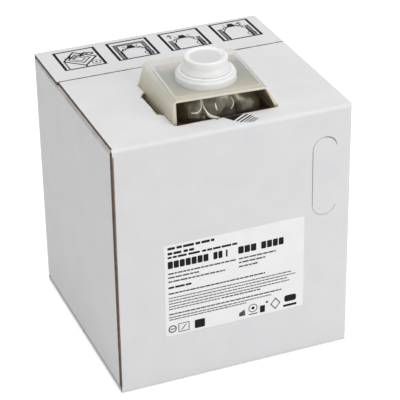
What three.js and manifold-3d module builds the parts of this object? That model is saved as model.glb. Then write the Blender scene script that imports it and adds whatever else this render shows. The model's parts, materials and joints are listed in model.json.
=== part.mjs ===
// Bag-in-box liquid container: a folded board carton, the filled film bag inside it,
// and the bag's capped spout, held above a torn-open hatch by a bent plastic bracket.
// Millimetres, +Z up. The origin is the middle of the carton's base.
// X runs along the front panel to the right, Y from front to back.

import * as THREE from 'three';
import { mergeVertices } from 'three/addons/utils/BufferGeometryUtils.js';
import Module from 'manifold-3d';

const wasm = await Module();
wasm.setup();

// Carton
const cartonWidth = 226;
const cartonDepth = 220;
const cartonHeight = 249;
const boardThickness = 3;
const foldInnerRadius = 0.6;
const cornerRadius = 3.6;
const topSeamY = 38.5;
const seamGap = 0.8;
const frontFlapInset = 1.6;
const topMinorFlapLength = 52;
const bottomMinorFlapLength = 104;
const glueTabLength = 30;

// Hatch in the front top flap, with a finger notch in its left edge
const hatchLeft = -48;
const hatchRight = 52;
const hatchFront = -88;
const hatchRear = 5;
const hatchFrontRadius = 5;
const hatchRearRadius = 3;
const notchDepth = 5.5;
const notchFront = -63.5;
const notchRear = -14.5;
const notchFrontSlope = 4;
const notchRearSlope = 7;

// Hand hole in the front panel. Its tab is cut along the left side and the ends, and is still in place.
const handHoleX = 86.3;
const handHoleZ = 182.7;
const handHoleWidth = 24.5;
const handHoleHeight = 79;
const handHoleCut = 0.6;
const handHoleCutDepth = 1;
const handHoleTie = 62;

// Label on the front panel
const labelLeft = -69.3;
const labelWidth = 136;
const labelBottom = 51.4;
const labelHeight = 95.2;
const labelThickness = 0.2;

// Bag
const bagClearance = 0.3;
const bagSideGap = 1.5;
const bagEdgeRadius = 16;
const bagEdgeSteps = 4;
const bagCornerPower = 7;
const bagNeckPower = 4;
const bagNeckGap = 4.5;
const bagFoldWidth = 29;
const bagFoldDepth = 4;
const wellDepth = 26;

// Spout bracket: a strip bent into an upside-down U, open to the front and the rear
const bracketHeight = 21;
const plateThickness = 2;
const legThickness = 3.2;
const bracketTopWidth = 90;
const bracketFront = 37.5;
const bracketRear = 50.2;
const bracketTurn = THREE.MathUtils.degToRad(-3.4);
const bracketMiddleX = -0.2;
const bracketFoldRadius = 6;
const bracketInnerRadius = 1.5;
const bracketLegDepth = 14;
const bracketHatchGap = 0.6;

// Spout, measured from its axis and from the bracket's top face
const spoutX = -1.4;
const spoutY = -47;
const boreRadius = 14;
const barrelRadius = 24;
const collarRadius = 27.35;
const collarHeight = 8.6;
const collarShoulder = 2.2;
const footRadius = 30;
const footThickness = 2.2;
const neckRadius = 16.5;
const neckHeight = 16.5;
const fitGap = 0.3;
const edgeRound = 0.5;

// Screw thread of the neck and the cap
const threadPitch = 4;
const threadHeight = 1.2;
const threadRootWidth = 1.8;
const threadCrestWidth = 0.8;
const neckThreadTurns = 1.1;
const capThreadTurns = 0.75;
const threadStart = 10.3;
const threadGap = 0.4;
const threadSink = 0.4;
const threadTaper = 4;

// Cap
const capWall = 1.6;
const capHeight = 12.4;
const capLift = 0.4;
const capSkirtRadius = 22.4;
const capSkirtHeight = 1;
const capFlareHeight = 6.4;
const capSkirtWall = 1.3;
const capGroove = 2.2;
const capTopThickness = 1.5;
const capShoulderRadius = 2.6;
const capRimWidth = 1;
const capDishRadius = 15.1;
const capDishDepth = 1.8;
const sealThickness = 1;
const sealSideGap = 0.7;

// Smoothness of round forms
const roundSegments = 48;
const foldSteps = 5;
const bagSegments = 88;

const fullTurn = 2 * Math.PI;
const quarterTurn = Math.PI / 2;
const weldDistance = 1e-5;
const axisRadius = 0.01;

const X = new THREE.Vector3(1, 0, 0);
const Y = new THREE.Vector3(0, 1, 0);
const Z = new THREE.Vector3(0, 0, 1);

const halfWidth = cartonWidth / 2;
const halfDepth = cartonDepth / 2;
const innerTop = cartonHeight - boardThickness;
const innerBottom = boardThickness;
const plateBottom = cartonHeight + bracketHeight - plateThickness;

// Solids

function toSolid(geometry) {
  const bare = geometry.index ? geometry.clone() : geometry;
  bare.deleteAttribute('normal');
  bare.deleteAttribute('uv');
  const welded = mergeVertices(bare, weldDistance);
  return new wasm.Manifold(new wasm.Mesh({
    numProp: 3,
    vertProperties: new Float32Array(welded.attributes.position.array),
    triVerts: new Uint32Array(welded.index.array),
  }));
}

function toGeometry(solid) {
  const { vertProperties, triVerts, numProp } = solid.getMesh();
  const positions = new Float32Array((vertProperties.length / numProp) * 3);
  for (let i = 0; i < positions.length / 3; i += 1) {
    for (let k = 0; k < 3; k += 1) positions[3 * i + k] = vertProperties[numProp * i + k];
  }
  const geometry = new THREE.BufferGeometry();
  geometry.setAttribute('position', new THREE.BufferAttribute(positions, 3));
  geometry.setIndex(new THREE.BufferAttribute(new Uint32Array(triVerts), 1));
  geometry.computeVertexNormals();
  return geometry;
}

function extrudeAlong(shape, basis, offset, length) {
  const geometry = new THREE.ExtrudeGeometry(shape, { depth: length, bevelEnabled: false });
  geometry.applyMatrix4(basis);
  geometry.translate(offset.x, offset.y, offset.z);
  return geometry;
}

// The shape is drawn in Y and Z.
function extrudeAlongX(shape, from, to) {
  const basis = new THREE.Matrix4().makeBasis(Y, Z, X);
  return extrudeAlong(shape, basis, new THREE.Vector3(from, 0, 0), to - from);
}

// The shape is drawn in X and Z.
function extrudeAlongY(shape, from, to) {
  const basis = new THREE.Matrix4().makeBasis(X, Z, Y.clone().negate());
  return extrudeAlong(shape, basis, new THREE.Vector3(0, to, 0), to - from);
}

// The shape is drawn in X and Y.
function extrudeAlongZ(shape, from, to) {
  const basis = new THREE.Matrix4();
  return extrudeAlong(shape, basis, new THREE.Vector3(0, 0, from), to - from);
}

function box(low, high) {
  const size = new THREE.Vector3().subVectors(high, low);
  const geometry = new THREE.BoxGeometry(size.x, size.y, size.z);
  geometry.translate((low.x + high.x) / 2, (low.y + high.y) / 2, (low.z + high.z) / 2);
  return geometry;
}

// Points of an arc about (cx, cy), from one angle to another, ends included
function arc(cx, cy, radius, from, to, steps) {
  const points = [];
  for (let i = 0; i <= steps; i += 1) {
    const angle = from + ((to - from) * i) / steps;
    points.push(new THREE.Vector2(cx + radius * Math.cos(angle), cy + radius * Math.sin(angle)));
  }
  return points;
}

// A profile of radius and height, turned about the Z axis. It runs counter-clockwise.
function turned(profile, segments = roundSegments) {
  const closed = [...profile, profile[0]].map(([r, z]) => new THREE.Vector2(r, z));
  const geometry = new THREE.LatheGeometry(closed, segments);
  geometry.rotateX(quarterTurn);
  return geometry;
}

// Carton

// Section of one panel with its top and bottom flaps folded inwards.
// side is -1 for the front or left panel and 1 for the rear or right one.
function foldedPanelShape(side, panelAt, topEnd, bottomEnd, low, high) {
  const t = boardThickness;
  const inner = foldInnerRadius;
  const outer = inner + t;
  const foldAt = panelAt - side * outer;
  const corner = (z, radius, from, to) => arc(0, z, radius, from, to, foldSteps)
    .map((p) => new THREE.Vector2(foldAt + side * p.x, p.y));
  return new THREE.Shape([
    new THREE.Vector2(topEnd, high),
    ...corner(high - outer, outer, quarterTurn, 0),
    ...corner(low + outer, outer, 0, -quarterTurn),
    new THREE.Vector2(bottomEnd, low),
    new THREE.Vector2(bottomEnd, low + t),
    ...corner(low + outer, inner, -quarterTurn, 0),
    ...corner(high - outer, inner, 0, quarterTurn),
    new THREE.Vector2(topEnd, high - t),
  ]);
}

// Plan of the carton with rounded upright folds. The front left corner stays sharp,
// because the front panel ends there in a raw cut edge.
function cartonPlan() {
  const r = cornerRadius;
  return new THREE.Shape([
    new THREE.Vector2(-halfWidth, -halfDepth),
    ...arc(halfWidth - r, r - halfDepth, r, -quarterTurn, 0, foldSteps),
    ...arc(halfWidth - r, halfDepth - r, r, 0, quarterTurn, foldSteps),
    ...arc(r - halfWidth, halfDepth - r, r, quarterTurn, Math.PI, foldSteps),
  ]);
}

// Plan of the left panel: it folds behind the front panel's cut edge into the glue tab.
function leftPanelPlan() {
  const t = boardThickness;
  const outer = foldInnerRadius + t;
  const frontInner = t - halfDepth;
  const cx = outer - halfWidth;
  const cy = frontInner + outer;
  return new THREE.Shape([
    new THREE.Vector2(-halfWidth, halfDepth - t),
    ...arc(cx, cy, outer, Math.PI, 1.5 * Math.PI, foldSteps),
    new THREE.Vector2(glueTabLength - halfWidth, frontInner),
    new THREE.Vector2(glueTabLength - halfWidth, frontInner + t),
    ...arc(cx, cy, foldInnerRadius, 1.5 * Math.PI, Math.PI, foldSteps),
    new THREE.Vector2(t - halfWidth, halfDepth - t),
  ]);
}

function hatchPlan() {
  const notchLeft = hatchLeft - notchDepth;
  const front = hatchFrontRadius;
  const rear = hatchRearRadius;
  return new THREE.Shape([
    ...arc(hatchLeft + front, hatchFront + front, front, Math.PI, 1.5 * Math.PI, foldSteps),
    ...arc(hatchRight - front, hatchFront + front, front, -quarterTurn, 0, foldSteps),
    ...arc(hatchRight - rear, hatchRear - rear, rear, 0, quarterTurn, foldSteps),
    ...arc(hatchLeft + rear, hatchRear - rear, rear, quarterTurn, Math.PI, foldSteps),
    new THREE.Vector2(hatchLeft, notchRear),
    new THREE.Vector2(notchLeft, notchRear - notchRearSlope),
    new THREE.Vector2(notchLeft, notchFront + notchFrontSlope),
    new THREE.Vector2(hatchLeft, notchFront),
  ]);
}

// Outline of a slot with round ends, drawn in X and Z about its own middle
function slotPoints(width, height) {
  const r = width / 2;
  const straight = height / 2 - r;
  return [
    ...arc(0, straight, r, 0, Math.PI, 3 * foldSteps),
    ...arc(0, -straight, r, Math.PI, fullTurn, 3 * foldSteps),
  ];
}

// The cut line round the hand hole's tab, less the right side, where the tab hangs on
function handHoleCutter() {
  const line = new THREE.Shape(slotPoints(handHoleWidth, handHoleHeight));
  const inside = slotPoints(handHoleWidth - 2 * handHoleCut, handHoleHeight - 2 * handHoleCut);
  line.holes.push(new THREE.Path(inside));
  const outOfPanel = 1;
  const ring = extrudeAlongY(line, -halfDepth - outOfPanel, handHoleCutDepth - halfDepth);
  const tie = box(
    new THREE.Vector3(0, -halfDepth - 2 * outOfPanel, -handHoleTie / 2),
    new THREE.Vector3(handHoleWidth, 2 * handHoleCutDepth - halfDepth, handHoleTie / 2),
  );
  return toSolid(ring).subtract(toSolid(tie)).translate([handHoleX, 0, handHoleZ]);
}

function makeCarton() {
  const t = boardThickness;
  const frontPanel = foldedPanelShape(-1, -halfDepth, topSeamY - seamGap / 2, -seamGap / 2,
    0, cartonHeight);
  const rearPanel = foldedPanelShape(1, halfDepth, topSeamY + seamGap / 2, seamGap / 2,
    0, cartonHeight);
  const leftPanel = foldedPanelShape(-1, -halfWidth, topMinorFlapLength - halfWidth,
    bottomMinorFlapLength - halfWidth, innerBottom, innerTop);
  const rightPanel = foldedPanelShape(1, halfWidth, halfWidth - topMinorFlapLength,
    halfWidth - bottomMinorFlapLength, innerBottom, innerTop);
  const foldRise = t + foldInnerRadius;
  const flapFront = foldRise + t - halfDepth;
  const overlap = t / 2;
  const flapInset = box(
    new THREE.Vector3(-halfWidth - t, -halfDepth + foldRise, innerTop),
    new THREE.Vector3(frontFlapInset - halfWidth, topSeamY, cartonHeight + t),
  );
  return toSolid(extrudeAlongX(frontPanel, -halfWidth, halfWidth))
    .subtract(toSolid(flapInset))
    .add(toSolid(extrudeAlongX(rearPanel, -halfWidth, halfWidth)))
    .add(toSolid(extrudeAlongY(leftPanel, flapFront, halfDepth - overlap)))
    .add(toSolid(extrudeAlongZ(leftPanelPlan(), innerBottom + foldRise, innerTop - foldRise)))
    .add(toSolid(extrudeAlongY(rightPanel, overlap - halfDepth, halfDepth - overlap)))
    .intersect(toSolid(extrudeAlongZ(cartonPlan(), -t, cartonHeight + t)))
    .subtract(toSolid(extrudeAlongZ(hatchPlan(), innerTop - t, cartonHeight + t)))
    .subtract(handHoleCutter());
}

// Label

function makeLabel() {
  return toSolid(box(
    new THREE.Vector3(labelLeft, -halfDepth - labelThickness, labelBottom),
    new THREE.Vector3(labelLeft + labelWidth, -halfDepth, labelBottom + labelHeight),
  ));
}

// Spout bracket

const hatchMiddle = (hatchLeft + hatchRight) / 2;
const bracketBaseWidth = hatchRight - hatchLeft - 2 * bracketHatchGap;

// Section of the bracket about its own middle. The legs spread from the folds to the hatch's edges
// and then run straight down. grow makes it thicker all over, to cut room for it.
function bracketShape(grow) {
  const top = cartonHeight + bracketHeight + grow;
  const under = plateBottom - grow;
  const t = legThickness + 2 * grow;
  const outer = bracketFoldRadius + grow;
  const inner = bracketInnerRadius;
  const topHalf = bracketTopWidth / 2 + grow;
  const baseHalf = bracketBaseWidth / 2 + grow;
  const legEnd = cartonHeight - bracketLegDepth - grow;
  const right = [
    ...arc(topHalf - outer, top - outer, outer, quarterTurn, 0, foldSteps),
    new THREE.Vector2((topHalf + baseHalf) / 2, (top - outer + cartonHeight) / 2),
    new THREE.Vector2(baseHalf, cartonHeight),
    new THREE.Vector2(baseHalf, legEnd),
    new THREE.Vector2(baseHalf - t, legEnd),
    new THREE.Vector2(baseHalf - t, cartonHeight),
    new THREE.Vector2((topHalf + baseHalf) / 2 - t, (top - outer + cartonHeight) / 2),
    ...arc(topHalf - t - inner, under - inner, inner, 0, quarterTurn, foldSteps),
  ];
  const left = right.map((p) => new THREE.Vector2(-p.x, p.y)).reverse();
  return new THREE.Shape([...right, ...left]);
}

// The hatch holds the legs square, and the plate is turned about the spout, so the legs twist.
function twistToSpout(geometry) {
  const position = geometry.attributes.position;
  for (let i = 0; i < position.count; i += 1) {
    const rise = (position.getZ(i) - cartonHeight) / (plateBottom - cartonHeight);
    const share = THREE.MathUtils.clamp(rise, 0, 1);
    const angle = bracketTurn * share;
    const x = position.getX(i);
    const y = position.getY(i);
    const middle = THREE.MathUtils.lerp(hatchMiddle, bracketMiddleX, share);
    position.setX(i, middle + x * Math.cos(angle) - y * Math.sin(angle));
    position.setY(i, spoutY + x * Math.sin(angle) + y * Math.cos(angle));
  }
  return geometry;
}

function bracketBlank(grow) {
  const geometry = extrudeAlongY(bracketShape(grow), -bracketFront - grow, bracketRear + grow);
  return toSolid(twistToSpout(geometry));
}

function makeBracket() {
  const hole = new THREE.CylinderGeometry(barrelRadius + fitGap, barrelRadius + fitGap,
    4 * plateThickness, roundSegments);
  hole.rotateX(quarterTurn);
  hole.translate(spoutX, spoutY, plateBottom);
  return bracketBlank(0).subtract(toSolid(hole));
}

// Spout and cap, about the spout's axis, with the bracket's top face at height 0

const capBottom = collarHeight + capLift;
const capTop = capBottom + capHeight;
const capInnerRadius = neckRadius + threadHeight + threadGap;
const capOuterRadius = capInnerRadius + capWall;
const capCeiling = capTop - capDishDepth - capTopThickness;

// A helical ridge from the wall at wallRadius to a crest, sunk a little into that wall.
// direction is 1 for a ridge that stands outwards and -1 for one that stands inwards.
function threadRidge(wallRadius, direction, startZ, turns) {
  const steps = Math.round(turns * roundSegments);
  const root = wallRadius - direction * threadSink;
  const points = [];
  for (let i = 0; i <= steps; i += 1) {
    const angle = (fullTurn * i) / roundSegments;
    const z = startZ + (threadPitch * angle) / fullTurn;
    const fromEnd = Math.min(i, steps - i) / threadTaper;
    const height = threadHeight * Math.min(1, (1 + 3 * fromEnd) / 4);
    const crest = wallRadius + direction * height;
    const section = [
      [root, -threadRootWidth / 2],
      [crest, -threadCrestWidth / 2],
      [crest, threadCrestWidth / 2],
      [root, threadRootWidth / 2],
    ];
    section.forEach(([r, dz]) => points.push(r * Math.cos(angle), r * Math.sin(angle), z + dz));
  }
  const faces = [];
  const quad = (a, b, c, d) => {
    const order = direction > 0 ? [a, b, c, a, c, d] : [a, c, b, a, d, c];
    faces.push(...order);
  };
  for (let i = 0; i < steps; i += 1) {
    for (let k = 0; k < 4; k += 1) {
      const next = (k + 1) % 4;
      quad(4 * i + k, 4 * i + 4 + k, 4 * i + 4 + next, 4 * i + next);
    }
  }
  quad(0, 1, 2, 3);
  quad(4 * steps + 3, 4 * steps + 2, 4 * steps + 1, 4 * steps);
  const geometry = new THREE.BufferGeometry();
  geometry.setAttribute('position', new THREE.Float32BufferAttribute(points, 3));
  geometry.setIndex(faces);
  return geometry;
}

function makeSpout() {
  const plateUnder = -plateThickness - fitGap;
  const foot = plateUnder - footThickness;
  const round = edgeRound;
  const shoulderRadius = collarRadius - collarShoulder;
  const body = turned([
    [boreRadius, foot],
    [footRadius - round, foot],
    [footRadius, foot + round],
    [footRadius, plateUnder - round],
    [footRadius - round, plateUnder],
    [barrelRadius, plateUnder],
    [barrelRadius, fitGap],
    [collarRadius - round, fitGap],
    [collarRadius, fitGap + round],
    ...arc(shoulderRadius, collarHeight - collarShoulder, collarShoulder, 0, quarterTurn, foldSteps)
      .map((p) => [p.x, p.y]),
    [neckRadius, collarHeight],
    [neckRadius, neckHeight - round],
    [neckRadius - round, neckHeight],
    [boreRadius + round, neckHeight],
    [boreRadius, neckHeight - round],
  ]);
  return toSolid(body).add(toSolid(threadRidge(neckRadius, 1, threadStart, neckThreadTurns)));
}

function makeCap() {
  const skirtTop = capBottom + capSkirtHeight;
  const skirtInner = capSkirtRadius - capSkirtWall;
  const grooveTop = capBottom + capGroove;
  const round = edgeRound;
  const flareSteps = 4;
  const flare = [];
  for (let i = 0; i <= flareSteps; i += 1) {
    const share = i / flareSteps;
    const spread = (capSkirtRadius - capOuterRadius) * (1 - share) ** 1.6;
    flare.push([capOuterRadius + spread, skirtTop + capFlareHeight * share]);
  }
  const shoulder = arc(capOuterRadius - capShoulderRadius, capTop - capShoulderRadius,
    capShoulderRadius, 0, quarterTurn, foldSteps);
  const body = turned([
    [axisRadius, capCeiling],
    [capInnerRadius, capCeiling],
    [capInnerRadius, capBottom + round],
    [capInnerRadius + round, capBottom],
    [capOuterRadius - round, capBottom],
    [capOuterRadius, grooveTop],
    [skirtInner - round, grooveTop],
    [skirtInner, capBottom],
    [capSkirtRadius - round, capBottom],
    [capSkirtRadius, capBottom + round],
    ...flare,
    ...shoulder.map((p) => [p.x, p.y]),
    [capDishRadius + capRimWidth, capTop],
    [capDishRadius, capTop - capRimWidth],
    [capDishRadius - round, capTop - capDishDepth],
    [axisRadius, capTop - capDishDepth],
  ]);
  const ridgeStart = threadStart + threadPitch / 2;
  return toSolid(body).add(toSolid(threadRidge(capInnerRadius, -1, ridgeStart, capThreadTurns)));
}

function makeSeal() {
  const radius = capInnerRadius - sealSideGap;
  const low = capCeiling - fitGap - sealThickness;
  const geometry = new THREE.CylinderGeometry(radius, radius, sealThickness, roundSegments);
  geometry.rotateX(quarterTurn);
  geometry.translate(0, 0, low + sealThickness / 2);
  return toSolid(geometry);
}

// Bag

// A closed skin through flat rings. Each ring is a superellipse: middle, half sizes, power and height.
// The first and the last ring close at their middles. shape moves a finished point.
function ringSkin(rings, segments, shape) {
  const points = [];
  const first = rings[0];
  const last = rings[rings.length - 1];
  points.push(first.x, first.y, first.z);
  rings.forEach((ring) => {
    for (let i = 0; i < segments; i += 1) {
      const angle = (fullTurn * i) / segments;
      const c = Math.cos(angle);
      const s = Math.sin(angle);
      const reach = (Math.abs(c / ring.halfX) ** ring.power
        + Math.abs(s / ring.halfY) ** ring.power) ** (-1 / ring.power);
      const point = new THREE.Vector3(ring.x + reach * c, ring.y + reach * s, ring.z);
      shape(point, ring);
      points.push(point.x, point.y, point.z);
    }
  });
  points.push(last.x, last.y, last.z);
  const faces = [];
  const at = (ring, i) => 1 + ring * segments + (i % segments);
  const end = points.length / 3 - 1;
  for (let i = 0; i < segments; i += 1) {
    faces.push(0, at(0, i + 1), at(0, i));
    for (let ring = 0; ring < rings.length - 1; ring += 1) {
      const a = at(ring, i);
      const b = at(ring, i + 1);
      const c = at(ring + 1, i + 1);
      const d = at(ring + 1, i);
      faces.push(a, b, c, a, c, d);
    }
    faces.push(end, at(rings.length - 1, i), at(rings.length - 1, i + 1));
  }
  const geometry = new THREE.BufferGeometry();
  geometry.setAttribute('position', new THREE.Float32BufferAttribute(points, 3));
  geometry.setIndex(faces);
  return geometry;
}

function makeBag() {
  const halfX = halfWidth - boardThickness - bagSideGap;
  const front = 2 * boardThickness + bagClearance - halfDepth;
  const rear = halfDepth - boardThickness - bagSideGap;
  const middleY = (front + rear) / 2;
  const halfY = (rear - front) / 2;
  const low = 2 * boardThickness + bagClearance;
  const high = cartonHeight - 2 * boardThickness - bagClearance;
  const body = (inset, z) => ({
    x: 0, y: middleY, halfX: halfX - inset, halfY: halfY - inset, power: bagCornerPower, z,
  });
  const r = bagEdgeRadius;
  const edge = (angle, z, up) => body(r * (1 - Math.cos(angle)), z + up * r * Math.sin(angle));
  const edgeAngles = [];
  for (let i = 0; i <= bagEdgeSteps; i += 1) edgeAngles.push((quarterTurn * i) / bagEdgeSteps);
  const hatchY = (hatchFront + hatchRear) / 2;
  const neckHalfX = (hatchRight - hatchLeft) / 2 - legThickness - bagNeckGap;
  const neckHalfY = (hatchRear - hatchFront) / 2 - bagNeckGap;
  const neckRise = plateBottom - bagClearance;
  const neck = (share, inset, z, folds) => ({
    x: THREE.MathUtils.lerp(hatchMiddle, spoutX, share),
    y: THREE.MathUtils.lerp(hatchY, spoutY, share),
    halfX: neckHalfX - inset,
    halfY: neckHalfY - inset,
    power: THREE.MathUtils.lerp(bagNeckPower, 2, share),
    z,
    folds,
  });
  const round = (radius, z) => ({
    x: spoutX, y: spoutY, halfX: radius, halfY: radius, power: 2, z,
  });
  const footRim = footRadius + 2 * fitGap;
  const weld = plateBottom - 2 * fitGap - footThickness;
  const rings = [
    body(0.7 * halfX, low),
    ...edgeAngles.slice().reverse().map((angle) => edge(angle, low + r, -1)),
    body(0, (low + high) / 2),
    ...edgeAngles.map((angle) => edge(angle, high - r, 1)),
    neck(0, -9, high, 0),
    neck(0, -2, high + 0.4, 0.2),
    neck(0, 0, cartonHeight - 1, 0.8),
    neck(0.2, 1.2, cartonHeight + 6, 1),
    neck(0.4, 3, cartonHeight + 11, 0.9),
    neck(0.7, 5, neckRise - 2.2, 0.6),
    neck(1, 7, neckRise, 0.2),
    round(footRim + 0.6, neckRise),
    round(footRim, neckRise - 0.6),
    round(footRim, weld),
    round(boreRadius, weld),
    round(boreRadius, plateBottom - wellDepth),
  ];
  const foldSkin = (point, ring) => {
    if (!ring.folds || point.y > ring.y) return;
    const wave = Math.abs(Math.cos((Math.PI * (point.x - hatchMiddle)) / bagFoldWidth));
    const facing = (ring.y - point.y) / ring.halfY;
    point.y += bagFoldDepth * ring.folds * facing * (1 - wave);
  };
  return toSolid(ringSkin(rings, bagSegments, foldSkin)).subtract(bracketBlank(2 * fitGap));
}

// Colours follow the photograph.
const boardWhite = new THREE.MeshStandardMaterial({ color: 0xe3e3e5, roughness: 0.8 });
const paper = new THREE.MeshStandardMaterial({ color: 0xf2f2f2, roughness: 0.6 });
const foil = new THREE.MeshStandardMaterial({ color: 0x8d8b7e, roughness: 0.3, metalness: 0.9 });
const clearPlastic = new THREE.MeshStandardMaterial({ color: 0xc4c3b6, roughness: 0.35 });
const whitePlastic = new THREE.MeshStandardMaterial({ color: 0xf0f0ee, roughness: 0.35 });
const foam = new THREE.MeshStandardMaterial({ color: 0xf4f4f2, roughness: 0.9 });

function part(name, solid, material) {
  const mesh = new THREE.Mesh(toGeometry(solid), material);
  mesh.name = name;
  return mesh;
}

const spoutAssembly = new THREE.Group();
spoutAssembly.position.set(spoutX, spoutY, cartonHeight + bracketHeight);
spoutAssembly.add(
  part('spout', makeSpout(), clearPlastic),
  part('cap_seal', makeSeal(), foam),
  part('cap', makeCap(), whitePlastic),
);

const container = new THREE.Group();
container.add(
  part('carton', makeCarton(), boardWhite),
  part('label', makeLabel(), paper),
  part('liquid_bag', makeBag(), foil),
  part('spout_bracket', makeBracket(), clearPlastic),
  spoutAssembly,
);

export default container;
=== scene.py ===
"""Looks for a bag-in-box liquid container.

It is a board carton with a label, a metallised film bag inside it, and the bag's capped spout on a bent
plastic bracket. Lengths are in millimetres until a mesh is made, and then in metres.
"""

import json
import math
import random

import bmesh
import bpy
from mathutils import Matrix, Vector, noise
from mathutils.bvhtree import BVHTree


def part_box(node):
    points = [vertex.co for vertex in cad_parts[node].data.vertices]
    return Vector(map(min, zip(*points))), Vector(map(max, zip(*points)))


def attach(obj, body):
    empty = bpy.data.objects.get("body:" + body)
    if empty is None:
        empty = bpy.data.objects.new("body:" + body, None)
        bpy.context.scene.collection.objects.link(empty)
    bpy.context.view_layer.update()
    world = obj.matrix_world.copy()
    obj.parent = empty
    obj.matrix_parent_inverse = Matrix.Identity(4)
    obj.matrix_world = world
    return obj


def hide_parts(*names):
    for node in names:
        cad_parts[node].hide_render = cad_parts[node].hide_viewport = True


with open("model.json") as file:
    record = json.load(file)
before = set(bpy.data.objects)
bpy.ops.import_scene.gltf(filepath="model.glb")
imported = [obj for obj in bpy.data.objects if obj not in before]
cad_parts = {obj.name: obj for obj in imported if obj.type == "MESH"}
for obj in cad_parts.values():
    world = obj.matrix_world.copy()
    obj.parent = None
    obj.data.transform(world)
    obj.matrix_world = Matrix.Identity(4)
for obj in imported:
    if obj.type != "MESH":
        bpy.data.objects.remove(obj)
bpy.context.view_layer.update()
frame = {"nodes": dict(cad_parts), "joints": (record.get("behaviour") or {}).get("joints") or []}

MM = 0.001


def box_mm(node):
    """A node's lowest and highest corners at rest, in millimetres."""
    low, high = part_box(node)
    return low / MM, high / MM


# Places and sizes that come from the frame
CARTON_HIGH = box_mm("carton")[1]
HALF_W = CARTON_HIGH.x
HALF_D = CARTON_HIGH.y
TOP = CARTON_HIGH.z
PLATE_TOP = box_mm("spout_bracket")[1].z
CAP_TOP = box_mm("cap")[1].z
LABEL_LOW, LABEL_HIGH = box_mm("label")
BAG_LOW, BAG_HIGH = box_mm("liquid_bag")
SEAL_LOW, SEAL_HIGH = box_mm("cap_seal")
SPOUT_LOW, SPOUT_HIGH = box_mm("spout")
SPOUT_AXIS = Vector(next(j for j in frame["joints"] if j["name"] == "cap_turn")["pos_m"]) / MM
SPOUT_CENTRE = Vector((SPOUT_AXIS.x, SPOUT_AXIS.y, PLATE_TOP))

# Carton
BOARD = 3.0
FOLD_RADIUS = 3.6
PANEL_BULGE = 1.3
GRID_STEP = 9.0
FLUTE_PITCH = 6.5
HAND_HOLE_X, HAND_HOLE_Z = 86.3, 182.7
HAND_HOLE_WIDTH, HAND_HOLE_HEIGHT = 24.5, 79.0
HAND_HOLE_DEPTH = 1.0

# Hatch, whose edges the film and the print are set against
HATCH_LEFT, HATCH_RIGHT = -48.0, 52.0
HATCH_FRONT, HATCH_REAR = -88.0, 5.0
HATCH_MIDDLE_X = (HATCH_LEFT + HATCH_RIGHT) / 2
HATCH_MIDDLE_Y = (HATCH_FRONT + HATCH_REAR) / 2

# Label
LABEL_THICKNESS = 0.2
LABEL_CORNER = 0.24
LABEL_LIFT = 0.02
PRINT_LEFT = -66.0
COLUMN_LEFT = 2.0

# Bracket, whose plate has a shallow panel sunk into its top
PLATE_T = 2.0
LEG_T = 3.2
BRACKET_TOP_HALF = 45.0
BRACKET_BASE_HALF = 49.4
BRACKET_FRONT, BRACKET_REAR = 37.5, 50.2
BRACKET_TURN = math.radians(-3.4)
BRACKET_MIDDLE_X = -0.2
BRACKET_FOLD = 6.0
BRACKET_INNER_FOLD = 1.5
BRACKET_LEG_DEPTH = 14.0
BRACKET_SOFT_EDGE = 0.4
PLATE_HOLE = 24.3
PLATE_BOTTOM = PLATE_TOP - PLATE_T
PLATE_RECESS = 0.4
RECESS_HALF = 38.5
RECESS_FRONT, RECESS_REAR = 29.5, 38.0
RECESS_CORNER = 3.0

# Spout and cap, about the spout's axis, with heights from the bracket's top face
BORE = 14.0
BARREL = 24.0
COLLAR = 27.35
COLLAR_FOOT = 0.6
COLLAR_TOP = 8.6
FOOT = 30.0
NECK = 16.5
FIT = 0.3
PITCH = 4.0
THREAD_START = 10.3
THREAD_RISE, THREAD_SINK = 1.2, 0.4
THREAD_ROOT, THREAD_CREST = 1.8, 0.8
CAP_CLEARANCE = 0.1
CAP_INNER = 18.1
CAP_OUTER = 19.7
CAP_SKIRT = 22.4
CAP_SHOULDER = 2.6
CAP_CEILING = 1.5
SKIRT_HEIGHT = 1.0
SKIRT_WALL = 1.3
FLARE_HEIGHT = 6.4
FLARE_POWER = 2.0
DISH = 16.3
DISH_DEPTH = 1.8
DISH_SHADE_RADIUS = 17.5
PANEL_CLEARANCE = 0.05
ROUND = 128

# Film bag
BAG_SEGMENTS = 420
BAG_EDGE = 16.0
BAG_POWER = 7.0
BAG_NECK_GAP = 4.5
BAG_NECK_POWER = 4.0
BAG_WELL_BOTTOM = TOP - 8.0
NECK_FRONT_SHARE = 0.72

# Camera, worked out from the carton's corners in the photograph
CAMERA_PLACE = Vector((-527.1, -1350.3, 930.9))
CAMERA_AZIMUTH = math.radians(21.68)
CAMERA_DROP = math.radians(29.2)
CAMERA_ROLL = math.radians(-0.94)
FOCAL_PIXELS = 1751.5
PHOTO_PIXELS = 400
SENSOR_MM = 36.0

rng = random.Random(7)


# Meshes

def make_object(name, verts, faces, materials, smooth=True, sharp_angle=35.0):
    """A mesh object from points in millimetres. Edges sharper than sharp_angle stay crisp."""
    mesh = bpy.data.meshes.new(name)
    mesh.from_pydata([tuple(Vector(v) * MM) for v in verts], [], faces)
    for material in materials:
        mesh.materials.append(material)
    return finish_object(name, mesh, smooth, sharp_angle)


def finish_object(name, mesh, smooth=True, sharp_angle=35.0):
    bm = bmesh.new()
    bm.from_mesh(mesh)
    bmesh.ops.recalc_face_normals(bm, faces=bm.faces)
    limit = math.radians(sharp_angle)
    for edge in bm.edges:
        edge.smooth = len(edge.link_faces) == 2 and edge.calc_face_angle(0.0) < limit
    for face in bm.faces:
        face.smooth = smooth
    bm.to_mesh(mesh)
    bm.free()
    mesh.update()
    obj = bpy.data.objects.new(name, mesh)
    bpy.context.scene.collection.objects.link(obj)
    return obj


def settle(obj, body, node=None):
    """Makes the piece ride on its body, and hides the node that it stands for."""
    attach(obj, body)
    if node:
        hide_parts(node)
    return obj


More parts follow.
